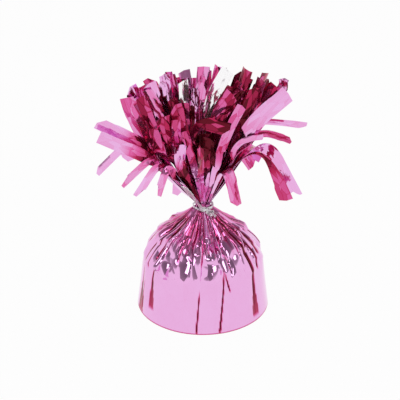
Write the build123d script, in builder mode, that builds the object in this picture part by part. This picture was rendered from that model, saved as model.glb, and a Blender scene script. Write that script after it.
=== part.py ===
from build123d import *

import os
from math import asin, cos, degrees, hypot, pi, radians, sin, sqrt, tan

# A foil-wrapped balloon weight. A plaster-filled cup stands on the table, one square of metallised
# film is drawn up round it, a twist tie closes the film above the dome, and the fringed edge of the
# square stands out over the tie as a plume. Millimetres and degrees, +Z up, origin at the centre of
# the underside.

os.makedirs("parts", exist_ok=True)

# The domed weight
base_radius = 35.0  # outside of the film at the bottom rim
wall_taper = 7.0  # lean of the straight side
wall_height = 22.0  # straight side, below the round of the dome
film = 0.3  # the film is drawn thicker than its real 0.03
wrap_gap = 1.0  # room between the film's ridges and the cup for the folds in between
cup_wall = 1.0
cast_gap = 0.1  # between the cup and what was cast or pushed into it
card_thickness = 1.2

# The gathered film above the dome
wrap_pleats = 24
wrap_facets = 7  # steps of the film over the round of the dome
pleat_height = 1.4  # folds on the round of the dome, none on the side
pleat_start = 0.3  # share of the round where the folds begin
pleat_growth = 0.25  # share of the round over which they reach their height
pleat_sway = 0.2  # how unevenly the folds stand, as a share of their pitch
collar_fold = 0.8  # folds at the tie
dome_top_angle = 58.0  # where the film leaves the dome for the neck
neck_height = 57.6  # centre of the tie above the table
neck_radius = 3.6  # bunched film inside the tie
neck_pleats = 12
neck_pleat_depth = 0.7
bend_gap = 0.35  # round the bunched film, which bends with the plume

# The twist tie
tie_radius = 4.9  # middle of the loop
tie_width = 1.4
tie_thickness = 0.7
tie_bend_radius = 1.2
tie_spacing = 1.2  # between the two ends where they run out side by side
tie_run = 3.0
tie_splay = 65.0  # how far each end is bent aside
tie_tail = 4.0
tie_wire_diameter = 0.36
tie_wire_gap = 0.03
tie_azimuth = -65.0  # the ends come out at the front, a little to the right

# The fringe
strip_width = 6.4
stem_width = 0.5  # a strip where it is gathered in the tie
stem_spread = 0.1  # how much wider the stem gets for each millimetre away from the tie
foot_rise = 3.6  # lowest fold of the plume above the centre of the tie
foot_pitch = 0.75  # between one layer of film and the next where they leave the tie
outer_foot_radius = 5.4
strip_stations = (0, 0.22, 0.42, 0.52, 0.62, 0.72, 0.84, 1)  # sections, as shares of a strip's length
hairpin_stations = (0, 0.2, 0.3, 0.35, 0.4, 0.44, 0.48, 0.52, 0.56, 0.6, 0.66, 0.74, 1)
turn_span = (0.42, 0.70)  # over this share of its length a strip turns its face to the front
open_span = (0.46, 0.74)  # and over this share it opens to its full width
front = Vector(0, -cos(radians(27)), sin(radians(27)))

# The dome is a sphere that runs on from the tapered side
dome_start_radius = base_radius - wall_height * tan(radians(wall_taper))
dome_radius = dome_start_radius / cos(radians(wall_taper))
dome_centre = wall_height - dome_radius * sin(radians(wall_taper))
film_floor = film
collar_drop = neck_radius * 0.58  # the wrap ends this far below the centre of the tie


def dome_section(inset, floor):
    """Half section of the dome, moved in by inset, from the height floor to its top."""
    radius = dome_radius - inset
    side_top = (radius * cos(radians(wall_taper)), dome_centre + radius * sin(radians(wall_taper)))
    side_foot = (side_top[0] + (side_top[1] - floor) * tan(radians(wall_taper)), floor)
    with BuildSketch(Plane.XZ) as section:
        with BuildLine():
            Polyline((0, dome_centre + radius), (0, floor), side_foot, side_top)
            CenterArc((0, dome_centre), radius, wall_taper, 90 - wall_taper)
        make_face()
    return section.sketch


def pleat_points(valley, height, pleats, inset=0.0):
    """Zigzag outline of folds that stand height out from the radius valley, moved in by inset."""
    half_pitch = pi * valley / pleats
    inset_radius = valley - inset * hypot(1, height / half_pitch)
    points = []
    for i in range(2 * pleats):
        uneven = 0.7 + 0.3 * sin(2.4 * i)
        radius = inset_radius + (i % 2) * height * uneven
        angle = pi * (i + 2 * pleat_sway * sin(1.2 * i)) / pleats
        points.append((radius * cos(angle), radius * sin(angle)))
    return points


def wrap_stations():
    """Height, fold radius and fold height of the film, from the rim to the tie."""
    stations = [(0, base_radius, 0)]
    for share in (0.35, 1.0):
        height = share * wall_height
        radius = base_radius - height * tan(radians(wall_taper))
        stations.append((height, radius, 0))
    for i in range(1, wrap_facets + 1):
        share = i / wrap_facets
        angle = radians(wall_taper + share * (dome_top_angle - wall_taper))
        radius = dome_radius * cos(angle)
        height = dome_centre + dome_radius * sin(angle)
        grown = min(max((share - pleat_start) / pleat_growth, 0), 1)
        stations.append((height, radius, grown * pleat_height))
    collar_inside = sqrt((neck_radius + bend_gap) ** 2 - collar_drop**2)
    half_pitch = pi * collar_inside / wrap_pleats
    collar_radius = collar_inside + film * hypot(1, collar_fold / half_pitch)
    stations.append((neck_height - collar_drop, collar_radius, collar_fold))
    return stations


def radius_at(height):
    """Outside radius of the tapered side."""
    return base_radius - height * tan(radians(wall_taper))


# The weight: a moulded cup, the plaster cast in it and the card that closes its mouth
cup_inset = film + wrap_gap
with BuildPart() as weight_cup:
    add(dome_section(cup_inset, film_floor))
    revolve(axis=Axis.Z)
    add(dome_section(cup_inset + cup_wall, film_floor))
    revolve(axis=Axis.Z, mode=Mode.SUBTRACT)

card_top = film_floor + card_thickness
with BuildPart() as base_card:
    with BuildSketch(Plane.XY.offset(film_floor)):
        Circle(radius_at(card_top) - (cup_inset + cup_wall) / cos(radians(wall_taper)) - cast_gap)
    extrude(amount=card_thickness)

with BuildPart() as plaster_weight:
    add(dome_section(cup_inset + cup_wall + cast_gap, card_top))
    revolve(axis=Axis.Z)

# The film over the dome: ruled between zigzag outlines whose folds grow towards the tie
with BuildPart() as foil_wrap:
    for height, valley, fold in wrap_stations():
        with BuildSketch(Plane.XY.offset(height)):
            Polygon(*pleat_points(valley, fold, wrap_pleats), align=None)
    loft(ruled=True)
    for height, valley, fold in wrap_stations():
        with BuildSketch(Plane.XY.offset(max(height, film_floor))):
            Polygon(*pleat_points(valley, fold, wrap_pleats, film), align=None)
    loft(ruled=True, mode=Mode.SUBTRACT)

# The bunched film inside the tie, round in outline so that it can lean any way
neck_angles = (-60, -35, 0, 35, 60)
with BuildPart() as neck_gather:
    for angle in neck_angles:
        ridge = neck_radius * cos(radians(angle))
        depth = neck_pleat_depth * cos(radians(angle))
        with BuildSketch(Plane.XY.offset(neck_height + neck_radius * sin(radians(angle)))):
            Polygon(*pleat_points(ridge - depth, depth, neck_pleats), align=None)
    loft(ruled=True)


def tie_path():
    """Centre line of the tie: in along one end, round the neck, and out along the other."""
    side = tie_spacing / 2
    reach = sqrt((tie_radius + tie_bend_radius) ** 2 - (side + tie_bend_radius) ** 2)
    curl = degrees(asin((side + tie_bend_radius) / (tie_radius + tie_bend_radius)))
    with BuildLine(Plane.XY.offset(neck_height)) as path:
        run_out = Line((side, -reach - tie_run), (side, -reach))
        JernArc(run_out @ 0, -(run_out % 0), tie_tail / radians(tie_splay), tie_splay)
        turn = JernArc(run_out @ 1, run_out % 1, tie_bend_radius, curl - 90)
        loop = JernArc(turn @ 1, turn % 1, tie_radius, 360 - 2 * curl)
        turn_back = JernArc(loop @ 1, loop % 1, tie_bend_radius, curl - 90)
        run_back = Line(turn_back @ 1, (-side, -reach - tie_run))
        JernArc(run_back @ 1, run_back % 1, tie_tail / radians(tie_splay), -tie_splay)
    return path.wire()


tie_line = tie_path()
tie_start = Plane(origin=tie_line @ 0, x_dir=(0, 0, 1), z_dir=tie_line % 0)
with BuildPart() as tie_jacket:
    with BuildSketch(tie_start):
        Rectangle(tie_width, tie_thickness)
        Circle(tie_wire_diameter / 2 + tie_wire_gap, mode=Mode.SUBTRACT)
    sweep(path=tie_line)

with BuildPart() as tie_wire:
    with BuildSketch(tie_start):
        Circle(tie_wire_diameter / 2)
    sweep(path=tie_line)


def blend(span, value):
    """Rises smoothly from 0 to 1 while value goes through the span."""
    share = min(max((value - span[0]) / (span[1] - span[0]), 0), 1)
    return share * share * (3 - 2 * share)


def strip(knee, tip, ease=8, tilt=0, wide=1, face=1):
    """A strip's own form: where it bends and how gently, where it ends and how it lies there."""
    return dict(knee=Vector(*knee), tip=Vector(*tip), ease=ease, tilt=tilt, wide=wide, face=face)


def hairpin(knee, tip, ease=12):
    """A strip that folds over and hangs straight down, flat against the ones behind it."""
    return dict(strip(knee, tip, ease, face=0), stations=hairpin_stations)


def strip_path(foot, shape):
    """Centre line of a strip: straight up to its knee, round it and straight on to its tip."""
    to_foot = foot - shape["knee"]
    to_tip = shape["tip"] - shape["knee"]
    ease = min(shape["ease"], 0.8 * to_foot.length, 0.8 * to_tip.length)
    bend_start = shape["knee"] + to_foot.normalized() * ease
    bend_end = shape["knee"] + to_tip.normalized() * ease
    with BuildLine() as path:
        Line(foot, bend_start)
        Bezier(bend_start, shape["knee"], bend_end)
        Line(bend_end, shape["tip"])
    return path.wire()


def fringe_strip(foot_radius, shape):
    """One fold of film that leaves the tie gathered, opens and turns its face to the front."""
    clear = neck_radius + bend_gap
    rise = max(sqrt(max(clear**2 - foot_radius**2, 0)), foot_rise)
    outward = Vector(shape["knee"].X, shape["knee"].Y, 0).normalized()
    around = Vector(0, 0, 1).cross(outward)
    path = strip_path(outward * foot_radius + Vector(0, 0, neck_height + rise), shape)
    end = path % 1
    turned = 1 if end.cross(front).dot(around - end * end.dot(around)) > 0 else -1
    full_width = strip_width * shape["wide"]
    with BuildPart() as fold:
        for share in shape.get("stations", strip_stations):
            run = share * path.length
            ahead = path.tangent_at(run, position_mode=PositionMode.LENGTH)
            turn = blend(turn_span, share)
            flat = (around - ahead * ahead.dot(around)).normalized()
            facing = ahead.cross(front).normalized() * turned
            across = (flat + (facing - flat) * turn * shape["face"]).normalized()
            across = across.rotate(Axis((0, 0, 0), ahead), shape["tilt"] * turn)
            width = stem_width + stem_spread * min(share, turn_span[0]) * path.length
            width += (full_width - width) * blend(open_span, share)
            point = path.position_at(run, position_mode=PositionMode.LENGTH)
            with BuildSketch(Plane(origin=point, x_dir=across, z_dir=ahead)):
                Rectangle(width, film)
        loft(ruled=True)
    return fold.part


# The strips have fallen by chance, so each has its own knee and tip. The layers go from the widest
# spread to the upright ones in the middle, and each layer leaves the tie inside the one before it.
plume_strips = {
    "fringe_loose": [
        strip((-36, 11, 91), (-55, 9, 72), ease=14, tilt=20, wide=0.85),
        strip((-28, 3, 89), (-41, 4, 83), tilt=10),
        strip((-26, -9, 88), (-52, -12, 102), ease=12, tilt=8),
        strip((-25.5, -14, 91), (-41, -18, 77), ease=9, tilt=15, wide=0.8),
        strip((-22, -18, 90), (-33, -23, 74), ease=9, tilt=10, wide=0.9),
        strip((-17.5, -21, 90), (-23, -28, 75), ease=9),
        strip((29, 5, 98), (51, 5, 59), ease=20, wide=1.15),
        strip((19, 14, 85), (31, 16, 77), tilt=10),
        strip((8, 29, 90), (10, 42, 76)),
        strip((-10, 27, 90), (-15, 40, 78)),
    ],
    "fringe_outer": [
        strip((-33, 2, 98), (-38, 2, 118), ease=16, tilt=10, wide=1.1),
        strip((-26, -3.5, 91), (-53, -5, 107), ease=12, tilt=6),
        strip((27, -6, 99), (39, -10, 60), ease=18, tilt=20, wide=1.1),
        strip((27, 1, 99), (45, 2, 92), ease=9, tilt=40, wide=0.8),
        strip((32, 13, 107), (41, 18, 121), tilt=20, wide=0.75),
        hairpin((12, -10, 87), (16, -14, 64)),
        strip((-12, -18, 89), (-11, -22, 100), wide=0.8),
        strip((-2, -19, 89), (-3, -22, 102), tilt=10),
        hairpin((-12, 13, 85), (-17, 19, 56)),
        strip((16, 23, 97), (24, 36, 104)),
        strip((0, 27, 98), (1, 41, 107)),
        strip((-13, 25, 97), (-20, 38, 103)),
    ],
    "fringe_lower": [
        strip((-26.5, -10, 100), (-33.5, -11, 117), tilt=5),
        strip((-26, -3, 105), (-34, -4, 123), wide=1.1),
        strip((-13, -16, 97), (-13, -19, 113), tilt=5, wide=0.9),
        strip((-6, -17, 92), (-9, -20, 104), wide=0.9),
        strip((8, -14, 88), (13, -14, 100), tilt=15),
        strip((26, -5, 107), (42, -5, 122), ease=9, wide=1.15),
        strip((25, 8, 102), (53, 12, 97), ease=9, tilt=40, wide=0.7),
        strip((24, 15, 106), (31, 18, 124), tilt=10),
        strip((7, 22, 102), (11, 33, 117)),
        strip((-6, 22, 103), (-9, 33, 118)),
        strip((-20, 12, 103), (-29, 17, 118)),
    ],
    "fringe_middle": [
        strip((-21, 1.5, 104), (-28, 1.5, 126), wide=1.1),
        strip((-16, -10, 96), (-21, -9, 113)),
        strip((1, -11, 87), (1, -12, 102)),
        strip((11, -11, 101), (19, -12, 119), tilt=10),
        strip((18, -8, 97), (30, -10, 100), ease=6, tilt=20),
        strip((21, 0.5, 105), (31, 1, 127), wide=1.15),
        strip((23, 7.6, 104), (36, 8, 122), tilt=10),
        strip((14, 13, 104), (22, 19, 121)),
        strip((0, 18, 105), (1, 26, 123)),
        strip((-11, 15, 104), (-17, 22, 121)),
    ],
    "fringe_upper": [
        strip((-16.5, 6, 105), (-22, 7, 128)),
        strip((-12, 10.5, 102), (-18, 12, 127)),
        strip((-6, 12, 103), (-10, 17, 121)),
        strip((-10, -11, 100), (-15, -8, 117), tilt=10),
        strip((4, -9, 87), (5, -10, 101), tilt=10),
        strip((17, 7, 104), (22, 9, 129), wide=1.1),
        strip((8, 19, 113), (10, 21, 126)),
        strip((-1, 14, 106), (1, 19, 126)),
    ],
    "fringe_core": [
        strip((-4, -6, 107), (14, -16, 106), ease=10, tilt=10),
        strip((-9, -3, 99), (-10, -3, 115), tilt=10),
        strip((3, 0, 105), (15, -2, 122), ease=9, wide=1.1),
        strip((8, 5, 105), (20, 5, 122), wide=1.2),
        strip((2, 8, 108), (14, 10, 128), ease=9, wide=1.1),
        strip((-2, 5, 106), (0, 6, 123)),
        strip((-9, 3, 107), (-10, 4, 125), wide=0.8),
    ],
}

plume = []
for level, (name, strips) in enumerate(plume_strips.items()):
    foot_radius = outer_foot_radius - level * foot_pitch
    with BuildPart() as fringe:
        add([fringe_strip(foot_radius, shape) for shape in strips])
    fringe.part.label = name
    plume.append(fringe.part)

weight_cup.part.label = "weight_cup"
base_card.part.label = "base_card"
plaster_weight.part.label = "plaster_weight"
foil_wrap.part.label = "foil_wrap"
neck_gather.part.label = "neck_gather"
tie_jacket.part.label = "tie_jacket"
tie_wire.part.label = "tie_wire"

tie_turn = Rotation(0, 0, tie_azimuth + 90)
pieces = [weight_cup.part, base_card.part, plaster_weight.part, foil_wrap.part, neck_gather.part]
for piece in pieces + plume:
    export_step(piece, f"parts/{piece.label}.step")
for piece in (tie_jacket.part, tie_wire.part):
    export_step(piece.moved(tie_turn), f"parts/{piece.label}.step")
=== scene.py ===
from math import atan, cos, pi, radians, sin, tan

import bpy
import numpy as np
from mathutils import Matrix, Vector


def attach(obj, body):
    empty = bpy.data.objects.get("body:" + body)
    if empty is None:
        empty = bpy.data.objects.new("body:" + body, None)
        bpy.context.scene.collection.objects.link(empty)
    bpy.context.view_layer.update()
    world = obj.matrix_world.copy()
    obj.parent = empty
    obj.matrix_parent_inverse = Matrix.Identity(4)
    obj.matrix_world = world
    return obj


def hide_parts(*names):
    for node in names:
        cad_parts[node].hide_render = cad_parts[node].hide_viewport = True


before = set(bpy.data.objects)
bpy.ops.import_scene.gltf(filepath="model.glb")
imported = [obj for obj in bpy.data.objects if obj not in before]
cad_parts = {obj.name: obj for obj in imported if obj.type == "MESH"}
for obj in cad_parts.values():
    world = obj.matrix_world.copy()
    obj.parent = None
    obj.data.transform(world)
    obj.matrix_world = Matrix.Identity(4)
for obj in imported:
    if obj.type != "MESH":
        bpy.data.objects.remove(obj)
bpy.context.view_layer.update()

mm = 0.001
scene = bpy.context.scene
scene.view_settings.view_transform = "Standard"
print("frame loaded:", len(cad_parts), "nodes")


# small helpers

def deselect():
    if bpy.context.object and bpy.context.object.mode != "OBJECT":
        bpy.ops.object.mode_set(mode="OBJECT")
    bpy.ops.object.select_all(action="DESELECT")


def pick(obj):
    deselect()
    obj.select_set(True)
    bpy.context.view_layer.objects.active = obj


def readPoints(obj):
    points = np.empty(len(obj.data.vertices) * 3)
    obj.data.vertices.foreach_get("co", points)
    return points.reshape(-1, 3)


def writePoints(obj, points):
    obj.data.vertices.foreach_set("co", np.ascontiguousarray(points, dtype=float).ravel())
    obj.data.update()


def applyModifier(obj, kind, **settings):
    pick(obj)
    modifier = obj.modifiers.new(kind.title(), kind)
    for key, value in settings.items():
        setattr(modifier, key, value)
    bpy.ops.object.modifier_apply(modifier=modifier.name)


def smoothStep(low, high, x):
    t = np.clip((x - low) / (high - low), 0, 1)
    return t * t * (3 - 2 * t)


def unit(vectors):
    return vectors / np.linalg.norm(vectors, axis=-1, keepdims=True)


def paint(mesh, name, values):
    # a value, or a place, that the materials read at each point
    place = values.ndim == 2
    attribute = mesh.attributes.new(name, "FLOAT_VECTOR" if place else "FLOAT", "POINT")
    attribute.data.foreach_set("vector" if place else "value", values.ravel())


def selectFaces(obj, way):
    # in edit mode: the faces that look up, or down where way is -1
    bpy.ops.mesh.select_mode(type="FACE")
    bpy.ops.mesh.select_all(action="DESELECT")
    bpy.ops.object.mode_set(mode="OBJECT")
    for face in obj.data.polygons:
        face.select = way * face.normal.z > 0.9
    bpy.ops.object.mode_set(mode="EDIT")


def cutRows(obj, cuts):
    # in edit mode: rows of points up the side of a tube of height 1, and back to object mode
    bpy.ops.mesh.select_mode(type="EDGE")
    bpy.ops.mesh.select_all(action="DESELECT")
    bpy.ops.object.mode_set(mode="OBJECT")
    points = readPoints(obj)
    for edge in obj.data.edges:
        a, b = edge.vertices
        edge.select = bool(abs(points[a, 2] - points[b, 2]) > 0.5)
    bpy.ops.object.mode_set(mode="EDIT")
    bpy.ops.mesh.subdivide(number_cuts=cuts)
    bpy.ops.object.mode_set(mode="OBJECT")


# materials

def crinkleGroup():
    group = bpy.data.node_groups.new("filmCrinkle", "ShaderNodeTree")
    group.interface.new_socket("Vector", in_out="INPUT", socket_type="NodeSocketVector")
    group.interface.new_socket("Scale", in_out="INPUT", socket_type="NodeSocketFloat")
    group.interface.new_socket("Creases", in_out="INPUT", socket_type="NodeSocketFloat")
    group.interface.new_socket("Height", in_out="OUTPUT", socket_type="NodeSocketFloat")
    group.interface.new_socket("Cloud", in_out="OUTPUT", socket_type="NodeSocketFloat")
    nodes, links = group.nodes, group.links
    inside = nodes.new("NodeGroupInput")
    outside = nodes.new("NodeGroupOutput")
    swell = nodes.new("ShaderNodeTexNoise")  # soft waves of the film
    swell.inputs["Detail"].default_value = 2
    swell.inputs["Distortion"].default_value = 0.6
    crease = nodes.new("ShaderNodeTexVoronoi")  # sharp little creases between flat spots
    crease.feature = "DISTANCE_TO_EDGE"
    crease.inputs["Randomness"].default_value = 1
    closer = nodes.new("ShaderNodeMath")
    closer.operation = "MULTIPLY"
    closer.inputs[1].default_value = 1.7
    sharp = nodes.new("ShaderNodeMath")
    sharp.operation = "MULTIPLY"
    add = nodes.new("ShaderNodeMath")
    add.operation = "ADD"
    links.new(inside.outputs["Vector"], swell.inputs["Vector"])
    links.new(inside.outputs["Vector"], crease.inputs["Vector"])
    links.new(inside.outputs["Scale"], swell.inputs["Scale"])
    links.new(inside.outputs["Scale"], closer.inputs[0])
    links.new(closer.outputs[0], crease.inputs["Scale"])
    links.new(crease.outputs["Distance"], sharp.inputs[0])
    links.new(inside.outputs["Creases"], sharp.inputs[1])
    links.new(swell.outputs["Fac"], add.inputs[0])
    links.new(sharp.outputs[0], add.inputs[1])
    links.new(add.outputs[0], outside.inputs["Height"])
    links.new(swell.outputs["Fac"], outside.inputs["Cloud"])
    return group


facetLook = dict(stretch=(1, 0.28, 1), turn=0.12, scale=480, lineWidth=0.07, lineShade=0.4)


def facetGroup():
    # crumpled film: flat spots, each tipped its own way and given a painted reflection a little darker or
    # paler
    group = bpy.data.node_groups.new("filmFacets", "ShaderNodeTree")
    group.interface.new_socket("Vector", in_out="INPUT", socket_type="NodeSocketVector")
    group.interface.new_socket("Tip", in_out="INPUT", socket_type="NodeSocketFloat")
    group.interface.new_socket("Shade", in_out="OUTPUT", socket_type="NodeSocketFloat")
    group.interface.new_socket("Normal", in_out="OUTPUT", socket_type="NodeSocketVector")
    nodes, links = group.nodes, group.links
    inside = nodes.new("NodeGroupInput")
    outside = nodes.new("NodeGroupOutput")
    stretch = nodes.new("ShaderNodeMapping")
    stretch.inputs["Scale"].default_value = facetLook["stretch"]
    stretch.inputs["Rotation"].default_value = (0, 0, facetLook["turn"])
    spots = nodes.new("ShaderNodeTexVoronoi")
    spots.inputs["Scale"].default_value = facetLook["scale"]
    edges = nodes.new("ShaderNodeTexVoronoi")
    edges.feature = "DISTANCE_TO_EDGE"
    edges.inputs["Scale"].default_value = facetLook["scale"]
    line = nodes.new("ShaderNodeMapRange")  # painted shade in thin creases between the spots
    line.inputs["From Max"].default_value = facetLook["lineWidth"]
    line.inputs["To Min"].default_value = facetLook["lineShade"]
    line.inputs["To Max"].default_value = 0
    shade = nodes.new("ShaderNodeMath")
    parts = nodes.new("ShaderNodeSeparateColor")
    centre = nodes.new("ShaderNodeVectorMath")
    centre.operation = "SUBTRACT"
    centre.inputs[1].default_value = (0.5, 0.5, 0.5)
    tipped = nodes.new("ShaderNodeVectorMath")
    tipped.operation = "SCALE"
    place = nodes.new("ShaderNodeNewGeometry")
    add = nodes.new("ShaderNodeVectorMath")
    add.operation = "ADD"
    even = nodes.new("ShaderNodeVectorMath")
    even.operation = "NORMALIZE"
    links.new(inside.outputs["Vector"], stretch.inputs["Vector"])
    links.new(stretch.outputs["Vector"], spots.inputs["Vector"])
    links.new(spots.outputs["Color"], centre.inputs[0])
    links.new(spots.outputs["Color"], parts.inputs["Color"])
    links.new(centre.outputs["Vector"], tipped.inputs[0])
    links.new(inside.outputs["Tip"], tipped.inputs["Scale"])
    links.new(tipped.outputs["Vector"], add.inputs[0])
    links.new(place.outputs["Normal"], add.inputs[1])
    links.new(add.outputs["Vector"], even.inputs[0])
    links.new(even.outputs["Vector"], outside.inputs["Normal"])
    links.new(stretch.outputs["Vector"], edges.inputs["Vector"])
    links.new(edges.outputs["Distance"], line.inputs["Value"])
    links.new(parts.outputs["Red"], shade.inputs[0])
    links.new(line.outputs["Result"], shade.inputs[1])
    links.new(shade.outputs[0], outside.inputs["Shade"])
    return group


crinkle = crinkleGroup()
facets = facetGroup()


def shaderMaterial(name):
    material = bpy.data.materials.new(name)
    material.use_nodes = True
    nodes, links = material.node_tree.nodes, material.node_tree.links
    return material, nodes, links, nodes["Principled BSDF"]


def filmMaterial(name, look):
    material, nodes, links, shader = shaderMaterial(name)
    place = nodes.new("ShaderNodeTexCoord")
    film = nodes.new("ShaderNodeGroup")
    film.node_tree = crinkle
    film.inputs["Scale"].default_value = look["scale"]
    film.inputs["Creases"].default_value = look["creases"]
    links.new(place.outputs["Object"], film.inputs["Vector"])
    mask = nodes.new("ShaderNodeAttribute")  # painted shade: how far the film is tucked into a fold or between others, drawn darker there
    mask.attribute_name = look["mask"]
    cloudy = nodes.new("ShaderNodeMath")
    cloudy.operation = "MULTIPLY_ADD"
    cloudy.inputs[1].default_value = look["cloudy"]
    links.new(film.outputs["Cloud"], cloudy.inputs[0])
    links.new(mask.outputs["Fac"], cloudy.inputs[2])
    bump = nodes.new("ShaderNodeBump")
    tone = cloudy
    if "tip" in look:
        spots = nodes.new("ShaderNodeGroup")
        spots.node_tree = facets
        lay = nodes.new("ShaderNodeAttribute")  # place on the film while it is flat
        lay.attribute_name = "lay"
        links.new(lay.outputs["Vector"], spots.inputs["Vector"])
        tip = nodes.new("ShaderNodeMath")
        tip.operation = "MULTIPLY_ADD"
        tip.inputs[1].default_value = look["tip"][1] - look["tip"][0]
        tip.inputs[2].default_value = look["tip"][0]
        crumple = nodes.new("ShaderNodeAttribute")
        crumple.attribute_name = look["crumple"]
        links.new(crumple.outputs["Fac"], tip.inputs[0])
        links.new(tip.outputs[0], spots.inputs["Tip"])
        links.new(spots.outputs["Normal"], bump.inputs["Normal"])
        spread = nodes.new("ShaderNodeMath")  # the painted reflection spots are stronger on film in painted shade than on pale film
        spread.operation = "MULTIPLY_ADD"
        spread.inputs[1].default_value = look["spread"]
        spread.inputs[2].default_value = 0.1 * look["spread"]
        links.new(mask.outputs["Fac"], spread.inputs[0])
        centre = nodes.new("ShaderNodeMath")
        centre.operation = "SUBTRACT"
        centre.inputs[1].default_value = 0.5
        links.new(spots.outputs["Shade"], centre.inputs[0])
        tone = nodes.new("ShaderNodeMath")
        tone.operation = "MULTIPLY_ADD"
        links.new(centre.outputs[0], tone.inputs[0])
        links.new(spread.outputs[0], tone.inputs[1])
        links.new(cloudy.outputs[0], tone.inputs[2])
    tint = nodes.new("ShaderNodeValToRGB")
    steps = tint.color_ramp.elements
    steps[1].position = look["tones"][-1][0]
    for level, colour in look["tones"][1:-1]:
        steps.new(level)
    for step, (level, colour) in zip(steps, look["tones"]):
        step.color = (*colour, 1)
    links.new(tone.outputs[0], tint.inputs["Fac"])
    links.new(tint.outputs["Color"], shader.inputs["Base Color"])
    gloss = nodes.new("ShaderNodeMapRange")
    gloss.inputs["To Min"].default_value = look["rough"][0]
    gloss.inputs["To Max"].default_value = look["rough"][1]
    links.new(film.outputs["Cloud"], gloss.inputs["Value"])
    links.new(gloss.outputs["Result"], shader.inputs["Roughness"])
    bump.inputs["Strength"].default_value = look["bump"]
    bump.inputs["Distance"].default_value = look["depth"] * mm
    links.new(film.outputs["Height"], bump.inputs["Height"])
    links.new(bump.outputs["Normal"], shader.inputs["Normal"])
    metal = nodes.new("ShaderNodeMapRange")  # film in the dark shows a little of its dye
    metal.inputs["To Min"].default_value = look["metal"][0]
    metal.inputs["To Max"].default_value = look["metal"][1]
    links.new(mask.outputs["Fac"], metal.inputs["Value"])
    links.new(metal.outputs["Result"], shader.inputs["Metallic"])
    shader.inputs["Specular IOR Level"].default_value = 0.15
    shader.inputs["Coat Weight"].default_value = look["coat"]
    shader.inputs["Coat Roughness"].default_value = 0.06
    return material


# painted reflection and shade: the film's colours from where it is open and pale to where it is tucked away
# and dark
pinkTones = ((0.0, (0.83, 0.45, 0.77)), (0.3, (0.76, 0.13, 0.39)),
             (0.6, (0.52, 0.02, 0.10)), (1.0, (0.13, 0.004, 0.015)))
domeTones = ((0.0, (0.83, 0.45, 0.77)), (0.3, (0.72, 0.16, 0.42)),
             (0.6, (0.50, 0.03, 0.12)), (1.0, (0.13, 0.005, 0.018)))
silverTones = ((0.0, (0.97, 0.96, 0.97)), (1.0, (0.10, 0.08, 0.09)))
domeFilm = dict(tones=domeTones, mask="paintedShade", cloudy=0.03, rough=(0.05, 0.10), scale=150, creases=0.4,
                bump=0.08, depth=0.5, coat=0.15, metal=(1, 0.8), crumple="crumple", tip=(0, 0.42),
                spread=0.15)
stripFilm = dict(domeFilm, tones=pinkTones, bump=0.14, coat=0.05, metal=(1, 0.6),
                 crumple="paintedShade", tip=(0.12, 0.4), spread=0.9)
# the back of a strip reads its painted shade from the depth attribute
stripBack = dict(stripFilm, mask="depth", crumple="depth", cloudy=0.06, rough=(0.06, 0.13), bump=0.18)
silverFilm = dict(stripFilm, tones=silverTones, cloudy=0.1, bump=0.3, metal=(0.9, 0.9), tip=(0.25, 0.5))
silverTie = dict(tones=silverTones, mask="paintedShade", cloudy=0.35, rough=(0.10, 0.20), scale=900, creases=0.9,
                 bump=0.4, depth=0.4, coat=0.2, metal=(0.5, 0.95))
filmDome = filmMaterial("filmDome", domeFilm)
filmOutside = filmMaterial("filmOutside", stripFilm)
filmInside = filmMaterial("filmInside", stripBack)
filmSilver = filmMaterial("filmSilver", silverFilm)
tieFilm = filmMaterial("tieFilm", silverTie)


def grainMaterial(name, look):
    material, nodes, links, shader = shaderMaterial(name)
    place = nodes.new("ShaderNodeTexCoord")
    grain = nodes.new("ShaderNodeTexNoise")
    grain.inputs["Scale"].default_value = look["scale"]
    grain.inputs["Detail"].default_value = 6
    links.new(place.outputs["Object"], grain.inputs["Vector"])
    tint = nodes.new("ShaderNodeMix")
    tint.data_type = "RGBA"
    tint.inputs["A"].default_value = (*look["dark"], 1)
    tint.inputs["B"].default_value = (*look["pale"], 1)
    links.new(grain.outputs["Fac"], tint.inputs["Factor"])
    links.new(tint.outputs["Result"], shader.inputs["Base Color"])
    bump = nodes.new("ShaderNodeBump")
    bump.inputs["Strength"].default_value = 0.3
    bump.inputs["Distance"].default_value = 0.1 * mm
    links.new(grain.outputs["Fac"], bump.inputs["Height"])
    links.new(bump.outputs["Normal"], shader.inputs["Normal"])
    shader.inputs["Roughness"].default_value = look["rough"]
    shader.inputs["Metallic"].default_value = look.get("metal", 0)
    return material


hiddenLooks = dict(
    base_card=dict(dark=(0.40, 0.33, 0.24), pale=(0.56, 0.48, 0.37), scale=900, rough=0.9),
    weight_cup=dict(dark=(0.78, 0.78, 0.76), pale=(0.86, 0.86, 0.84), scale=300, rough=0.45),
    plaster_weight=dict(dark=(0.66, 0.65, 0.61), pale=(0.80, 0.79, 0.75), scale=500, rough=0.95),
    tie_wire=dict(dark=(0.45, 0.45, 0.46), pale=(0.60, 0.60, 0.61), scale=2500, rough=0.35, metal=1),
)
for node, look in hiddenLooks.items():
    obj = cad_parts[node]
    obj.data.materials.clear()
    obj.data.materials.append(grainMaterial(node + "Finish", look))
print("materials made")


# film over the dome

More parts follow.
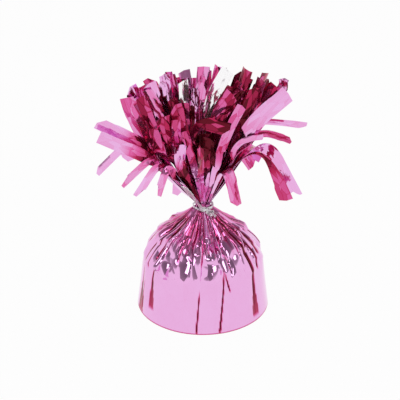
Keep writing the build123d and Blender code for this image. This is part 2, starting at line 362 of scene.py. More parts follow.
wrap = dict(radius=35.0, taper=7.0, sideHeight=22.0, topAngle=58.0, columns=400, rows=110, smooth=28,
            neckHeight=57.6, collar=(4.7, 56.2), neckRadius=4.2, floorHeight=0.08, length=67.5,
            thickness=0.14,
            flat=(0.160, 0.160), cut=0.0201,  # in metres: a round of the square sheet, up to the tie
            seed=11, foldStart=0.47, startStray=0.04, foldBend=0.008, foldEnd=(0.70, 0.92),
            ripples=24, rippleSway=0.2, rippleDepth=1.5, rowLength=(10, 18), rowStray=3.5, rowSlope=0.78,
            pleats=42, pleatDepth=0.55, pleatStart=(0.55, 0.82), deepest=-0.85, tuckPull=0.7, tuckReach=0.006,
            # each fold that hangs over: turn above and at its point, height above and at its point,
            # half width and bulge
            flaps=((0.632, 0.645, 0.53, 0.415, 3.0, 3.2), (0.602, 0.616, 0.54, 0.442, 2.3, 2.5)),
            # each long tuck: turn round the axis, slant, width, low and high end
            tucks=((0.734, 0.021, 0.35, 0.0, 0.36), (0.790, 0.037, 0.50, 0.0, 0.52),
                   (0.843, -0.067, 0.2, 0.33, 0.50), (0.603, -0.010, 4.0, 0.10, 0.95),
                   (0.548, -0.004, 7.0, 0.0, 0.95), (0.572, 0.0, 0.50, 0.42, 0.95),
                   (0.485, 0.0, 1.60, 0.52, 0.95), (0.562, 0.0, 0.15, 0.04, 0.30),
                   (0.900, 0.0, 4.5, 0.04, 0.95), (0.932, 0.0, 0.60, 0.40, 0.95),
                   (0.965, 0.0, 1.60, 0.48, 0.80), (0.030, 0.0, 0.90, 0.0, 0.95),
                   (0.120, 0.006, 0.30, 0.0, 0.40), (0.210, -0.010, 1.30, 0.06, 0.95),
                   (0.300, 0.010, 0.30, 0.0, 0.50), (0.400, 0.004, 1.20, 0.0, 0.95),
                   (0.455, 0.0, 0.30, 0.05, 0.50)))


def wrapProfile(share):
    # radius, height and outward lean of the smooth shape, from the middle of the floor to the tie
    taper = radians(wrap["taper"])
    startRadius = wrap["radius"] - wrap["sideHeight"] * tan(taper)
    domeRadius = startRadius / cos(taper)
    domeCentre = wrap["sideHeight"] - domeRadius * sin(taper)
    top = radians(wrap["topAngle"])
    sideLength = wrap["sideHeight"] / cos(taper)
    domeLength = domeRadius * (top - taper)
    domeTop = np.array([domeRadius * cos(top), domeCentre + domeRadius * sin(top)])
    collar = np.array(wrap["collar"])
    collarLength = np.linalg.norm(collar - domeTop)
    run = share * (sideLength + domeLength + collarLength)
    onSide = np.clip(run / sideLength, 0, 1)
    onDome = np.clip((run - sideLength) / domeLength, 0, 1)
    onCollar = np.clip((run - sideLength - domeLength) / collarLength, 0, 1)
    angle = taper + onDome * (top - taper)
    sideRadius = wrap["radius"] - onSide * wrap["sideHeight"] * tan(taper)
    radius = np.where(onDome > 0, domeRadius * np.cos(angle), sideRadius)
    height = np.where(onDome > 0, domeCentre + domeRadius * np.sin(angle), onSide * wrap["sideHeight"])
    radius = np.where(onCollar > 0, domeTop[0] + onCollar * (collar[0] - domeTop[0]), radius)
    height = np.where(onCollar > 0, domeTop[1] + onCollar * (collar[1] - domeTop[1]), height)
    return radius, height, angle


def pleatCurve(rng, count, turn):
    # flat-sided folds of uneven width round the neck
    knots = (np.arange(2 * count) + rng.uniform(-0.36, 0.36, 2 * count)) / (2 * count)
    ridge, valley = rng.uniform(0.45, 1.0, 2 * count), rng.uniform(0.0, 0.3, 2 * count)
    tall = np.where(np.arange(2 * count) % 2 == 0, ridge, valley)
    knots = np.concatenate([knots - 1, knots, knots + 1])
    tall = np.concatenate([tall, tall, tall])
    return np.interp(turn % 1.0, knots, tall)


def hashNoise(rng, size):
    # smooth noise on a torus, sampled with wrap-round
    grid = rng.uniform(-1, 1, size)

    def sample(u, v):
        u = u % 1.0 * size[0]
        v = v % 1.0 * size[1]
        i, j = np.floor(u).astype(int), np.floor(v).astype(int)
        a, b = u - i, v - j
        a, b = a * a * (3 - 2 * a), b * b * (3 - 2 * b)
        i0, i1, j0, j1 = i % size[0], (i + 1) % size[0], j % size[1], (j + 1) % size[1]
        low = grid[i0, j0] * (1 - a) + grid[i1, j0] * a
        high = grid[i0, j1] * (1 - a) + grid[i1, j1] * a
        return low * (1 - b) + high * b

    return sample


def rippleCurve(sway, turn):
    # rounded ripples of uneven width with a sharp crease between each two
    count = len(sway)
    edges = (np.arange(count) + sway) / count
    edges = np.concatenate([edges - 1, edges, edges + 1])
    phase = np.interp(turn % 1.0, edges, np.arange(3 * count))
    number = np.floor(phase).astype(int) % count
    inside = phase % 1.0
    return inside, number


def closeToTucks(turn, share):
    # columns of the grid move towards the long tucks, so that those stay thin
    for at, slant, wide, low, high in wrap["tucks"]:
        offset = (turn - at - slant * share + 0.5) % 1.0 - 0.5
        turn = turn - wrap["tuckPull"] * offset * np.exp(-(offset / wrap["tuckReach"]) ** 2)
    return turn % 1.0


def wrapFolds(rng, turn, share, radius):
    count = wrap["ripples"]
    edge = hashNoise(rng, (29, 3))
    start = wrap["foldStart"] + wrap["startStray"] * edge(turn, 0 * turn)
    bend = wrap["foldBend"] * hashNoise(rng, (17, 5))(turn, share * 1.2)
    # rounded folds in uneven rows, each steep below and sloping back above
    inside, number = rippleCurve(wrap["rippleSway"] * np.sin(2.4 * np.arange(count)), turn + bend)
    tall = (0.7 + 0.3 * np.sin(2.4 * (2 * np.arange(count) + 1)))[number]
    stray = rng.uniform(-wrap["rowStray"], wrap["rowStray"], count)[number]
    run = (share - start) * wrap["length"] + stray - 3 * (inside - 0.5) ** 2
    row = run / rng.uniform(*wrap["rowLength"], count)[number]
    part, slope = row % 1.0, wrap["rowSlope"]
    petal = np.where(part < slope, 1 - part / slope, (part - slope) / (1 - slope))
    petal = np.where(row < 0, np.exp(np.minimum(run, 0) / 2.2), petal)
    skewed = inside ** rng.uniform(0.6, 1.7, count)[number]
    ridge = np.sin(pi * skewed) ** 0.4
    fading = 1 - smoothStep(*wrap["foldEnd"], share)
    gather = smoothStep(-4, 6, run)
    lean = rng.uniform(-1, 1, count)[number] * (inside - 0.5)
    swell = wrap["rippleDepth"] * fading * (
        tall * ridge * petal + 0.3 * gather * (ridge - 0.5) + 0.45 * gather * lean)
    # pleats towards the tie, with painted shade in their valleys and over the whole collar
    fine, finer = rippleCurve(rng.uniform(-0.4, 0.4, wrap["pleats"]), turn + 0.5 * bend)
    pleat = 1 - np.abs(2 * fine - 1)
    close = smoothStep(*wrap["pleatStart"], share)
    swell += wrap["pleatDepth"] * close * (pleat * rng.uniform(0.5, 1.0, wrap["pleats"])[finer] - 0.5)
    valley = 1 - smoothStep(0.12, 0.5, pleat)
    tint = 0.18 + 0.14 * np.sin(7.0 * finer)  # some pleats get more painted shade than others
    paintedShade = close * (tint + valley * rng.uniform(0.15, 0.45, wrap["pleats"])[finer])
    # creases from the tie down between the folds, with painted shade along them
    gap = np.minimum(inside, 1 - inside) * 2 * pi * radius / count
    crease = np.where(inside < 0.5, number, (number + 1) % count)
    reach = rng.uniform(0.44, 0.66, count)[crease]
    dark = rng.uniform(0.45, 1.0, count)[crease] * smoothStep(reach, reach + 0.06, share)
    dark = dark * (1 - 0.5 * close)
    swell -= 0.5 * dark * np.exp(-(gap / 0.5) ** 2) * fading
    # painted shade along each crease
    paintedShade = np.maximum(paintedShade, 0.65 * dark * (1 - smoothStep(0.1, 0.5, gap)))
    # long tucks, each with painted shade inside
    for at, slant, wide, low, high in wrap["tucks"]:
        offset = (turn - at - slant * share + 0.5) % 1.0 - 0.5
        arc = offset * 2 * pi * radius
        fade = (1 - smoothStep(high - 0.08, high + 0.02, share)) * smoothStep(low - 0.01, low + 0.03, share)
        narrow = 0.2 + 0.8 * (1 - smoothStep(low, min(low + 0.3, high), share))
        half = 0.22 + 0.5 * wide * narrow
        lip = np.clip(1 - arc / 6.0, 0, 1) * (arc > 0) * (1 - close)
        swell += fade * (0.3 * lip - 0.45 * np.exp(-(arc / (0.3 + half)) ** 2))
        # how dark the painted shade inside this tuck is
        tone = np.clip(1.15 - 0.5 * narrow * min(1, wide), 0.55, 1)
        paintedShade = np.maximum(paintedShade, fade * tone * smoothStep(-0.12, 0.12, half - np.abs(arc)))
    # folds that hang over, each pointed below
    for above, point, high, low, wide, bulge in wrap["flaps"]:
        down = np.maximum((high - share) / (high - low), 0)
        arc = ((turn - above - (point - above) * down + 0.5) % 1.0 - 0.5) * 2 * pi * radius
        flap = smoothStep(-0.3, 0.3, wide * (1 - 0.75 * down**2) - np.abs(arc))
        swell += bulge * np.minimum(down, 1) * flap * smoothStep(low - 0.012, low, share)
    swell += 0.08 * hashNoise(rng, (14, 5))(turn, share)
    # a thin painted shadow line along the rim, where the film meets the floor
    paintedShade = np.where(share < 0.002, 0.6, paintedShade)
    return np.maximum(swell, wrap["deepest"]), np.clip(paintedShade, 0, 1), gather


def makeWrap():
    rng = np.random.default_rng(wrap["seed"])
    deselect()
    bpy.ops.mesh.primitive_cylinder_add(vertices=wrap["columns"], radius=1, depth=1, end_fill_type="NGON")
    obj = bpy.context.object
    obj.name = "filmWrap"
    bpy.ops.object.mode_set(mode="EDIT")
    selectFaces(obj, 1)
    bpy.ops.mesh.delete(type="ONLY_FACE")  # the top stays open for the tie
    selectFaces(obj, -1)
    for inset in range(3):  # rings in the floor, so that the rim stays crisp
        bpy.ops.mesh.inset(thickness=0.04 if inset == 0 else 0.3)
    bpy.ops.mesh.poke()
    cutRows(obj, wrap["rows"] - 1)

    points = readPoints(obj)
    turn = np.arctan2(points[:, 1], points[:, 0]) / (2 * pi) % 1.0
    reach = np.hypot(points[:, 0], points[:, 1])
    share = np.clip(points[:, 2] + 0.5, 0, 1)
    share = share * (1.35 - 0.35 * share)  # closer rows towards the tie
    floor = (share < 1e-6) & (reach < 0.999)
    radius, height, lean = wrapProfile(share)
    turn = closeToTucks(turn, share)
    swell, paintedShade, crumple = wrapFolds(rng, turn, share, radius)
    newRadius = radius + swell * np.cos(lean)
    newHeight = height + swell * np.sin(lean) * (share > 0.02)
    newRadius = np.where(floor, reach * wrap["radius"], np.maximum(newRadius, wrap["neckRadius"]))
    newHeight = np.where(floor, wrap["floorHeight"], np.maximum(newHeight, wrap["floorHeight"]))
    angle = turn * 2 * pi
    moved = np.stack([newRadius * np.cos(angle), newRadius * np.sin(angle), newHeight], axis=1) * mm
    writePoints(obj, moved)
    # painted shade in the folds, creases and tucks, and a painted shadow line along the rim
    paint(obj.data, "paintedShade", paintedShade)
    paint(obj.data, "crumple", crumple)
    lay = np.stack([turn * 2.4 * wrap["radius"], 0.7 * share * wrap["length"], 0 * turn], axis=1) * mm
    paint(obj.data, "lay", lay)
    obj.data.materials.append(filmDome)
    obj.data.materials.append(filmInside)
    applyModifier(obj, "SOLIDIFY", thickness=wrap["thickness"] * mm, offset=-1,
                  material_offset=1, material_offset_rim=0)
    pick(obj)
    bpy.ops.object.shade_smooth_by_angle(angle=radians(wrap["smooth"]))
    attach(obj, "base")
    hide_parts("foil_wrap")
    return obj


filmWrap = makeWrap()
print("film over the dome:", len(filmWrap.data.polygons), "faces")


# plume of cut strips

strip = dict(width=6.4, flatLength=66, rows=60, across=6, thickness=0.10, gore=0.22, smooth=11,
             endSlant=4, foldDepth=0.5, creaseAngle=(8, 20), creases=(0.44, 0.58, 0.72, 0.86),
             kinks=(0.45, 0.97),
             footHeight=56.8, footRadius=3.2, footPitch=0.12, waistHeight=59.4, waistRadius=3.8,
             turnSpan=(0.42, 0.70),  # over this share of its length a strip turns its face to the front
             paleBelow=(88, 98), paleTo=(0.54, 0.66),  # heights and shares where the stem's pale painted reflection ends
             stems=(0, 0, 0, 0, 0.1, 0.4),  # painted shade tones that a stem may have where none is given
             tipSpan=(0.55, 0.84))  # shares over which the tone at the knee becomes that at the tip
secondStrip = dict(knee=(0.93, 0.93, 1), kneeStray=(1.2, 1.2, 2.5), tip=(0.92, 0.92, 0.985),
                   tipStray=(2.0, 2.0, 2.5), turnStray=0.12, tiltStray=30, wide=(0.75, 1.0), curlStray=0.8,
                   darker=0.15, tipDarker=(0.1, 0.3, 0.5))
towardFront = np.array((0, -0.951, 0.309))
plainStrip = dict(tilt=0, ease=8, wide=1.0, face=1, notch=0, slant=None, curl=0.3, stem=None, opens=None,
                  silver=False, double=True, crease=None, seed=0)
sliver = dict(ease=6, curl=0, stem=0, double=False, crease=6)  # narrow strips that hang at the front left


def film(knee, tip, tone=(0.5, 0.1), **own):
    # one strip from the tie to its knee and its tip, in millimetres; tone is its painted reflection and shade
    # at the knee and the tip, from 0, pale, to 1, maroon, and past them it has no spots of another tone;
    # slant and notch shape its cut end, opens is where it gets wide; double has a second strip close behind
    # it;
    # crease is how sharply it is creased, in degrees
    return dict(plainStrip, knee=knee, tip=tip, tone=tone, **own)


# the tone of each strip is its painted reflection and shade
layers = dict(
    fringe_loose=(
        film((-36, 11, 91), (-55, 9, 72), (0, 0), tilt=5, ease=14, wide=0.6, slant=3, double=False,
             crease=5, seed=1),
        film((-28, 3, 89), (-41, 4, 83), (0, 0), tilt=10, crease=6),
        film((-26, -9, 88), (-52, -12, 102), (0.7, 0), tilt=8, ease=12, double=False, crease=6),
        film((-25.5, -14, 91), (-41, -18, 77), (0.45, 0.15), wide=0.55, slant=7, **sliver),
        film((-22, -18, 90), (-33, -23, 74), (0.35, 0), wide=0.6, slant=-7, **sliver),
        film((-17.5, -21, 90), (-22.5, -26.5, 76), (0.3, 0.1), wide=0.6, slant=7, **sliver),
        film((29, 5, 98), (48.5, 5, 59.5), (0, 0), ease=20, wide=1.15, notch=3.5, double=False, crease=5),
        film((19, 14, 85), (31, 16, 77), (0, 0), tilt=10, crease=6),
        film((8, 29, 90), (10, 42, 76)),
        film((-10, 27, 90), (-15, 40, 78)),
    ),
    fringe_outer=(
        film((-33, 2, 98), (-38, 2, 118), (0.5, 0.2), tilt=10, ease=16, wide=1.1),
        film((-26, -3.5, 91), (-53, -5, 107), (0.8, 0), tilt=6, ease=12, double=False, crease=6),
        film((27, -6, 99), (42, -10, 62.5), (0.8, 0.3), tilt=20, ease=20, wide=1.1, opens=(0.5, 0.95),
             double=False, crease=7),
        film((27, 1, 99), (45, 2, 92), (0.4, 0.3), tilt=40, ease=9, wide=0.8, double=False),
        film((32, 13, 107), (41, 18, 121), (0.1, 0.05), tilt=20, wide=0.75, double=False),
        film((12, -10, 87), (16, -14, 64), (0.1, 0.2), ease=12, wide=1.25, face=0, stem=0, double=False,
             crease=5),
        film((-12, -18, 89), (-11, -22, 100), (0.9, 0), wide=0.8, curl=1.6, stem=0.9, double=False),
        film((-2, -19, 89), (-3, -22, 102), (0.45, 0.6), tilt=10, wide=0.6, stem=0, double=False),
        film((-10.5, 13, 85), (-13, 19, 53.5), (0, 0), tilt=30, ease=12, slant=5, double=False, crease=5),
        film((16, 23, 97), (24, 36, 104)),
        film((0, 27, 98), (1, 41, 107)),
        film((-13, 25, 97), (-20, 38, 103)),
    ),
    fringe_lower=(
        film((-26.5, -10, 100), (-33.5, -11, 117), (0.6, 0.15), tilt=5),
        film((-26, -3, 105), (-34, -4, 123), (0.5, -0.05), wide=1.1),
        film((-13, -16, 97), (-13, -19, 113), (0.5, 0.4), tilt=5, wide=0.7, stem=0, double=False),
        film((-6, -17, 92), (-9, -20, 104), (0.35, 0.45), wide=0.6, stem=0, double=False),
        film((8, -14, 88), (13, -14, 100), (0.1, 0.45), tilt=15, wide=0.55, stem=0, double=False),
        film((26, -5, 107), (42, -5, 122), (0.1, 0), ease=9, wide=1.35, double=False, crease=7),
        film((25, 8, 102), (53, 12, 97), (0.2, 0), tilt=40, ease=9, wide=0.7, double=False, crease=7),
        film((24, 15, 106), (31, 18, 124), (0.65, 0.6), tilt=10),
        film((7, 22, 102), (11, 33, 117)),
        film((-6, 22, 103), (-9, 33, 118)),
        film((-20, 12, 103), (-29, 17, 118)),
    ),
    fringe_middle=(
        film((-21, 1.5, 104), (-28, 1.5, 126), (0.55, 0), wide=1.1),
        film((-16, -10, 96), (-21, -9, 113), (0.9, 0.7), stem=0),
        film((1, -11, 87), (1, -12, 102), (2, 2), stem=0),
        film((11, -11, 101), (19, -12, 119), (0.4, 0.25), tilt=10, wide=0.75, stem=0, double=False),
        film((18, -8, 97), (30, -10, 100), (0.3, 0.1), tilt=20, ease=6, wide=0.45, double=False),
        film((21, 0.5, 105), (31, 1, 127), (0.65, 0.5), wide=1.15),
        film((23, 7.6, 104), (36, 8, 122), (0.6, 0.5), tilt=10),
        film((14, 13, 104), (22, 19, 121), (0.6, 0.6)),
        film((0, 18, 105), (1, 26, 123)),
        film((-11, 15, 104), (-17, 22, 121)),
    ),
    fringe_upper=(
        film((-16.5, 6, 105), (-22, 7, 128), (0.55, -0.05)),
        film((-12, 10.5, 102), (-18, 12, 127), (0.6, 0.15)),
        film((-6, 12, 103), (-10, 17, 121), (0.5, 0)),
        film((-10, -11, 100), (-15, -8, 117), (0.9, 0.7), tilt=10),
        film((4, -9, 87), (5, -10, 101), (2, 2), tilt=10, stem=0),
        film((17, 7, 104), (22, 9, 129), (0.65, 0.65), wide=1.1, curl=1.8),
        film((8, 19, 113), (10, 21, 126), (0, 0)),
        film((-1, 14, 106), (1, 19, 126), (0.3, 0.2)),
    ),
    fringe_core=(
        film((-4, -6, 107), (14, -16, 106), (0.8, 0.75), tilt=10, ease=10, double=False),
        film((-9, -3, 99), (-10, -3, 115), (0.85, 0.75), tilt=10),
        film((3, 0, 105), (15, -2, 122), (0.55, 0.5), ease=9, wide=1.1),
        film((8, 5, 105), (20, 5, 122), (0.65, 0.55), wide=1.2),
        film((2, 8, 108), (14, 10, 128), (-0.1, -0.15), tilt=-35, ease=9, wide=1.1, silver=True,
             double=False, crease=8),
        film((-2, 5, 106), (0, 6, 123), (0.5, 0.2)),
        film((-9, 3, 107), (-10, 4, 125), (0, -0.1), wide=0.8, silver=True),
    ),
)


def stripGrid():
    deselect()
    bpy.ops.mesh.primitive_grid_add(x_subdivisions=strip["across"], y_subdivisions=strip["rows"], size=2)
    obj = bpy.context.object
    obj.name = "stripGrid"
    for material in (filmOutside, filmInside, filmSilver, filmSilver):  # each pair is a front and its back
        obj.data.materials.append(material)
    return obj


def stripLine(foot, waist, shape):
    # up through the tie, straight to the knee, round it, and straight to the tip
    knee, tip = np.array(shape["knee"], float), np.array(shape["tip"], float)
    rise, reach = np.linalg.norm(knee - waist), np.linalg.norm(tip - knee)
    ease = min(shape["ease"], 0.8 * rise, 0.8 * reach)
    start, stop = knee + (waist - knee) * ease / rise, knee + (tip - knee) * ease / reach
    t = np.linspace(0, 1, 61)[:, None]
    bend = start * (1 - t) ** 2 + 2 * knee * t * (1 - t) + stop * t**2
    through = foot + (waist - foot) * t[:-1:6]
    return np.concatenate([through, waist + (start - waist) * t[:-1], bend, stop + (tip - stop) * t[1:]])


def stripPoints(plain, line, shape):
    rng = shape["rng"]
    steps = np.linalg.norm(np.diff(line, axis=0), axis=1)
    run = np.concatenate([[0], np.cumsum(steps)])
    length = run[-1]
    ahead = unit(np.gradient(line, run, axis=0))
    around = np.array((-sin(shape["azimuth"]), cos(shape["azimuth"]), 0))
    # gathered round the tie at first, and then with its face to the front
    flat = unit(around - (ahead @ around)[:, None] * ahead)
    facing = unit(np.cross(ahead, towardFront))
    facing = facing if facing[-1] @ flat[-1] > 0 else -facing
    turn = smoothStep(*strip["turnSpan"], run / length)
    roll = radians(shape["tilt"]) * turn
    for kink in range(3):
        place = rng.uniform(*strip["kinks"]) * length
        roll = roll + radians(rng.uniform(-1, 1) * shape["crease"]) / (1 + np.exp(-(run - place) / 0.3))
    side = unit(flat + (facing - flat) * (turn * shape["face"])[:, None])
    inner = np.cross(ahead, side)
    across3 = side * np.cos(roll)[:, None] + inner * np.sin(roll)[:, None]
    face = inner * np.cos(roll)[:, None] - side * np.sin(roll)[:, None]
    across = plain[:, 0]
    along = (plain[:, 1] + 1) / 2
    slant = shape["slant"]
    if slant is None:
        slant = rng.uniform(-strip["endSlant"], strip["endSlant"])
    cutEnd = (slant * across - shape["notch"] * (1 - np.abs(across))) * smoothStep(0.9, 1.0, along)
    s = np.clip(along * length + cutEnd, 0, length)

    def alongLine(values):
        return np.stack([np.interp(s, run, values[:, k]) for k in range(3)], axis=1)

    middle = alongLine(line)
    reach = np.hypot(middle[:, 0], middle[:, 1])
    halfWidth = np.minimum(strip["width"] * shape["wide"] / 2, 0.7 + reach * strip["gore"])
    if shape["opens"]:
        halfWidth = 0.6 + (halfWidth - 0.6) * smoothStep(*shape["opens"], along)
    fold = shape["fold"] * halfWidth * smoothStep(0.04, 0.2, along) * (1 - smoothStep(0.38, 0.62, along))
    out = fold * (1 - np.abs(across)) + shape["curl"] * smoothStep(0.42, 0.85, along) * (1 - across**2)
    for kink, place in enumerate(strip["creases"]):  # slanting creases, bent to and fro
        start = length * (place + rng.uniform(-0.05, 0.05))
        beyond = s - start - rng.uniform(-1.3, 1.3) * across * halfWidth
        slope = tan(radians(rng.uniform(0.3, 1) * shape["crease"])) * shape["bent"] * (-1) ** kink
        out += slope * np.maximum(beyond, 0)
    shape["cut"] = 2 * np.mean(halfWidth) * length  # area of the strip before it is creased
    shape["lay"] = np.stack([halfWidth * across, s, np.full(len(s), 150 * shape["azimuth"])], axis=1)
    return middle + alongLine(across3) * (halfWidth * across)[:, None] + alongLine(face) * out[:, None]


def paintedShadeTones(points, along, shape):
    # painted reflection and shade: how dark the film looks, above all where it sees only other film
    above = np.maximum(smoothStep(*strip["paleBelow"], points[:, 2]), smoothStep(*strip["paleTo"], along))
    root, end = shape["tone"]
    tone = root + (end - root) * smoothStep(*strip["tipSpan"], along)
    stem = shape["rng"].choice(strip["stems"]) if shape["stem"] is None else shape["stem"]
    return stem + (tone - stem) * above, 0.5 + (tone - 0.5) * above


def layerShapes(level, rows):
    # the strips of a layer, with a second one close behind most of them, in more painted shade
    shapes = []
    for number, one in enumerate(rows):
        rng = np.random.default_rng((level, number, one["seed"]))
        azimuth = np.arctan2(one["knee"][1], one["knee"][0])
        shapes.append(dict(one, azimuth=azimuth, rng=rng))
        if one["double"]:
            look = secondStrip
            knee = np.array(one["knee"]) * look["knee"] + rng.normal(0, look["kneeStray"])
            tip = np.array(one["tip"]) * look["tip"] + rng.normal(0, look["tipStray"])
            turned = azimuth + rng.normal(0, look["turnStray"])
            root, end = one["tone"]
            # the second strip gets more painted shade than the first
            tone = (min(1, root + look["darker"]), min(1, end + rng.choice(look["tipDarker"])))
            shapes.append(dict(one, knee=knee, tip=tip, azimuth=turned, silver=False, tone=tone, notch=0,
                               tilt=one["tilt"] + rng.normal(0, look["tiltStray"]),
                               wide=rng.uniform(*look["wide"]), curl=rng.normal(0, look["curlStray"]),
                               stem=None, rng=rng))
    for shape in shapes:
        rng = shape["rng"]
        shape.update(fold=rng.uniform(-strip["foldDepth"], strip["foldDepth"]), bent=rng.choice([1, -1]))
        shape["crease"] = shape["crease"] or rng.uniform(*strip["creaseAngle"])
    return shapes


def gatherPoint(ring, level, azimuth):
    # where a strip passes the foot or the waist of the bunch
    radius = strip[ring + "Radius"] - level * strip["footPitch"]
    return np.array((radius * cos(azimuth), radius * sin(azimuth), strip[ring + "Height"]))


def makeLayer(level, name, rows, template):
    plain = readPoints(template)
    made, shapes = [], layerShapes(level, rows)
    for i, shape in enumerate(shapes):
        mesh = template.data.copy()
        obj = bpy.data.objects.new(f"{name}Strip{i}", mesh)
        scene.collection.objects.link(obj)
        foot, waist = (gatherPoint(ring, level, shape["azimuth"]) for ring in ("foot", "waist"))
        points = stripPoints(plain, stripLine(foot, waist, shape), shape)
        writePoints(obj, points * mm)
        outside, inside = paintedShadeTones(points, (plain[:, 1] + 1) / 2, shape)
        # painted reflection and shade on the front and the back of each strip
        paint(mesh, "paintedShade", outside)
        paint(mesh, "depth", inside)
        paint(mesh, "lay", shape["lay"] * mm)
        if shape["silver"]:
            mesh.polygons.foreach_set("material_index", [2] * len(mesh.polygons))
        made.append(obj)
    deselect()
    for obj in made:
        obj.select_set(True)
    bpy.context.view_layer.objects.active = made[0]
    bpy.ops.object.join()
    piece = bpy.context.object
    piece.name = "film" + name.split("_")[1].title()
    applyModifier(piece, "SOLIDIFY", thickness=strip["thickness"] * mm, offset=0,
                  material_offset=1, material_offset_rim=0)
    pick(piece)
    bpy.ops.object.shade_smooth_by_angle(angle=radians(strip["smooth"]))
    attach(piece, "plume")
    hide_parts(name)
    return piece


template = stripGrid()
for level, (name, rows) in enumerate(layers.items()):
    piece = makeLayer(level, name, rows, template)
    print(piece.name, len(piece.data.polygons), "faces")
bpy.data.objects.remove(template)


# bunched film inside the tie

neck = dict(radius=2.8, height=(54.6, 60.8), folds=11, depth=0.8, columns=132, rows=20, smooth=35, seed=21)


def makeNeck():
    rng = np.random.default_rng(neck["seed"])
    deselect()
    low, high = neck["height"]
    bpy.ops.mesh.primitive_cylinder_add(vertices=neck["columns"], radius=1, depth=1, end_fill_type="TRIFAN")
    obj = bpy.context.object
    obj.name = "filmNeck"
    bpy.ops.object.mode_set(mode="EDIT")
    cutRows(obj, neck["rows"] - 1)
    points = readPoints(obj)
    turn = np.arctan2(points[:, 1], points[:, 0]) / (2 * pi) % 1.0
    reach = np.hypot(points[:, 0], points[:, 1])
    share = points[:, 2] + 0.5
    height = low + share * (high - low)
    ball = np.sqrt(np.maximum(neck["radius"] ** 2 - (height - wrap["neckHeight"]) ** 2 * 0.6, 0.6))
    folds = pleatCurve(rng, neck["folds"], turn)
    radius = reach * (ball - neck["depth"] * folds * (reach > 0.5))
    angle = turn * 2 * pi
    writePoints(obj, np.stack([radius * np.cos(angle), radius * np.sin(angle), height], axis=1) * mm)
    obj.data.materials.append(filmOutside)
    pick(obj)
    bpy.ops.object.shade_smooth_by_angle(angle=radians(neck["smooth"]))
    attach(obj, "neck")
    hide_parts("neck_gather")
    return obj


filmNeck = makeNeck()
print("bunched film:", len(filmNeck.data.polygons), "faces")


# twist tie, a crumpled ribbon with a knot in front

tie = dict(width=1.7, tailWidth=1.2, thickness=0.35, along=260, across=4, steps=800, smooth=30,
           seed=21, wander=0.22, roll=70,
           # the long tail, once round the neck, and the knot
           path=((-9.4, -26, 80.9), (-5.8, -18.5, 71.9), (-3, -11, 64.1), (-0.4, -5.8, 58.4),
                 (3.2, -4.2, 57.6), (5, -1, 57.4), (4.4, 2.6, 57.6), (1.6, 4.8, 57.7), (-2, 4.7, 57.5),
                 (-4.7, 2, 57.4), (-5, -1.4, 57.5), (-3.2, -4.2, 57.4), (-0.4, -5.6, 57.2),
                 (2.4, -6.0, 57.6), (4.0, -5.6, 56.4), (2.4, -6.6, 55.8), (2.0, -7.0, 57.2),
                 (4.6, -6.8, 57.4), (5.4, -7.0, 55.8), (3.8, -7.6, 55.4), (4.6, -7.8, 56.8),
                 (6.6, -8.4, 55.0)))


def smoothPath(corners, count):
    corners = np.array(corners, float)
    corners = np.concatenate([2 * corners[:1] - corners[1:2], corners, 2 * corners[-1:] - corners[-2:-1]])
    spans = len(corners) - 3
    at = np.linspace(0, spans - 1e-6, count)
    k = np.floor(at).astype(int)
    t = (at - k)[:, None]
    a, b, c, d = corners[k], corners[k + 1], corners[k + 2], corners[k + 3]
    return 0.5 * (2 * b + (c - a) * t + (2 * a - 5 * b + 4 * c - d) * t**2 + (3 * b - a - 3 * c + d) * t**3)


def makeTie():
    rng = np.random.default_rng(tie["seed"])
    deselect()
    bpy.ops.mesh.primitive_grid_add(x_subdivisions=tie["across"], y_subdivisions=tie["along"], size=2)
    obj = bpy.context.object
    obj.name = "tieRibbon"
    plain = readPoints(obj)
    line = smoothPath(tie["path"], tie["steps"])
    steps = np.linspace(0, 0.98, tie["steps"])
    line += tie["wander"] * np.stack([hashNoise(rng, (40, 1))(steps, 0 * steps) for k in range(3)], axis=1)
    run = np.concatenate([[0], np.cumsum(np.linalg.norm(np.diff(line, axis=0), axis=1))])
    ahead = unit(np.gradient(line, run, axis=0))
    side = unit(np.cross(ahead, np.array((0.2, 0.3, 1)) - 0 * line) + 1e-6)
    face = np.cross(ahead, side)
    share = run / run[-1]  # the tail faces the front, and the ribbon is twisted from there on
    twist = radians(tie["roll"]) * smoothStep(0.06, 0.24, share) * hashNoise(rng, (46, 1))(steps, 0 * steps)
    roll = pi / 2 * smoothStep(0.14, 0.24, share) + twist
    across3 = side * np.cos(roll)[:, None] + face * np.sin(roll)[:, None]
    s = (plain[:, 1] + 1) / 2 * run[-1]
    middle = np.stack([np.interp(s, run, line[:, k]) for k in range(3)], axis=1)
    across = np.stack([np.interp(s, run, across3[:, k]) for k in range(3)], axis=1)
    wide = 0.75 + 0.25 * hashNoise(rng, (60, 1))(s / run[-1] * 0.98, 0 * s)
    wide += tie["tailWidth"] * (1 - smoothStep(0.1, 0.2, s / run[-1]))
    points = middle + across * (plain[:, 0] * tie["width"] / 2 * wide)[:, None]
    writePoints(obj, points * mm)
    obj.data.materials.append(tieFilm)
    applyModifier(obj, "SOLIDIFY", thickness=tie["thickness"] * mm, offset=0)
    pick(obj)
    bpy.ops.object.shade_smooth_by_angle(angle=radians(tie["smooth"]))
    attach(obj, "base")
    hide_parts("tie_jacket")
    return obj


tieRibbon = makeTie()
print("tie:", len(tieRibbon.data.polygons), "faces")


# camera, floor and light

view = dict(aim=(-1.5, 0, 60.2), distance=650, elevation=27, frame=207.1)


def addCamera():
    lens = bpy.data.cameras.new("photoCamera")
    camera = bpy.data.objects.new("photoCamera", lens)
    scene.collection.objects.link(camera)
    aim = Vector(view["aim"]) * mm
    rise = radians(view["elevation"])
    away = Vector((0, -cos(rise), sin(rise))) * view["distance"] * mm
    camera.location = aim + away
    camera.rotation_euler = (-away).to_track_quat("-Z", "Y").to_euler()
    lens.angle = 2 * atan(view["frame"] / 2 / view["distance"])
    lens.clip_start = 0.01
    scene.camera = camera


floorLook = dict(size=8, colour=(0.9, 0.9, 0.9, 1), rough=0.8, glow=0.96)


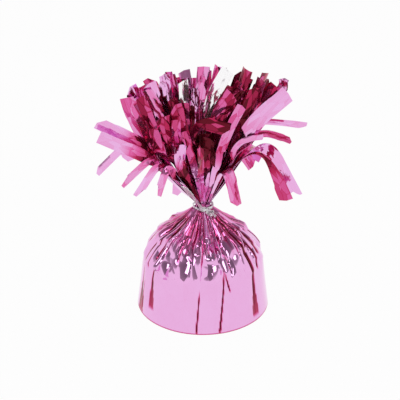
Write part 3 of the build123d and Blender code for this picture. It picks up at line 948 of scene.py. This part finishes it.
def addFloor():
    deselect()
    bpy.ops.mesh.primitive_plane_add(size=floorLook["size"])
    floor = bpy.context.object
    floor.name = "floor"
    material, nodes, links, shader = shaderMaterial("paleFloor")
    shader.inputs["Base Color"].default_value = floorLook["colour"]
    shader.inputs["Roughness"].default_value = floorLook["rough"]
    glow = nodes.new("ShaderNodeEmission")
    path = nodes.new("ShaderNodeLightPath")
    seen = nodes.new("ShaderNodeMath")
    seen.operation = "MAXIMUM"
    links.new(path.outputs["Is Camera Ray"], seen.inputs[0])
    links.new(path.outputs["Is Glossy Ray"], seen.inputs[1])
    part = nodes.new("ShaderNodeMath")
    part.operation = "MULTIPLY"
    part.inputs[1].default_value = floorLook["glow"]
    links.new(seen.outputs[0], part.inputs[0])
    mix = nodes.new("ShaderNodeMixShader")
    links.new(part.outputs[0], mix.inputs["Fac"])
    links.new(shader.outputs[0], mix.inputs[1])
    links.new(glow.outputs[0], mix.inputs[2])
    links.new(mix.outputs[0], nodes["Material Output"].inputs["Surface"])
    floor.data.materials.append(material)


lamps = dict(
    keyBox=dict(place=(-0.25, -0.35, 0.95), size=(0.40, 0.40), radiance=2.8),
    fillBox=dict(place=(0.45, -0.60, 0.75), size=(0.22, 0.45), radiance=2.4),
    topBox=dict(place=(0.12, 0.20, 1.00), size=(0.30, 0.30), radiance=2.2),
)


lampAim = (0, 0, 0.07)


def addLamps():
    for name, look in lamps.items():
        data = bpy.data.lights.new(name, "AREA")
        data.shape = "RECTANGLE"
        data.size, data.size_y = look["size"]
        data.energy = look["radiance"] * pi * look["size"][0] * look["size"][1]
        lamp = bpy.data.objects.new(name, data)
        scene.collection.objects.link(lamp)
        lamp.location = look["place"]
        lamp.rotation_euler = (Vector(lampAim) - lamp.location).to_track_quat("-Z", "Y").to_euler()


room = dict(dimWay=(0, -0.174, 0.985), whiteTo=0.46, dimFrom=0.53, dim=(0.40, 0.35, 0.38), darkFrom=0.85,
            dark=(0.20, 0.17, 0.19))


def addWorld():
    world = bpy.data.worlds.new("studio")
    scene.world = world
    world.use_nodes = True
    nodes, links = world.node_tree.nodes, world.node_tree.links
    place = nodes.new("ShaderNodeTexCoord")
    towards = nodes.new("ShaderNodeVectorMath")  # 1 towards the dim room in front and above
    towards.operation = "DOT_PRODUCT"
    towards.inputs[1].default_value = room["dimWay"]
    links.new(place.outputs["Generated"], towards.inputs[0])
    ramp = nodes.new("ShaderNodeValToRGB")
    ramp.color_ramp.elements[0].position = room["whiteTo"]
    ramp.color_ramp.elements[0].color = (1, 1, 1, 1)
    ramp.color_ramp.elements[1].position = room["dimFrom"]
    ramp.color_ramp.elements[1].color = (*room["dim"], 1)
    ramp.color_ramp.elements.new(room["darkFrom"]).color = (*room["dark"], 1)
    links.new(towards.outputs["Value"], ramp.inputs["Fac"])
    path = nodes.new("ShaderNodeLightPath")
    mix = nodes.new("ShaderNodeMix")
    mix.data_type = "RGBA"
    mix.inputs["B"].default_value = (1, 1, 1, 1)
    links.new(path.outputs["Is Camera Ray"], mix.inputs["Factor"])
    links.new(ramp.outputs["Color"], mix.inputs["A"])
    links.new(mix.outputs["Result"], nodes["Background"].inputs["Color"])


addCamera()
addFloor()
addLamps()
addWorld()
print("stage set")
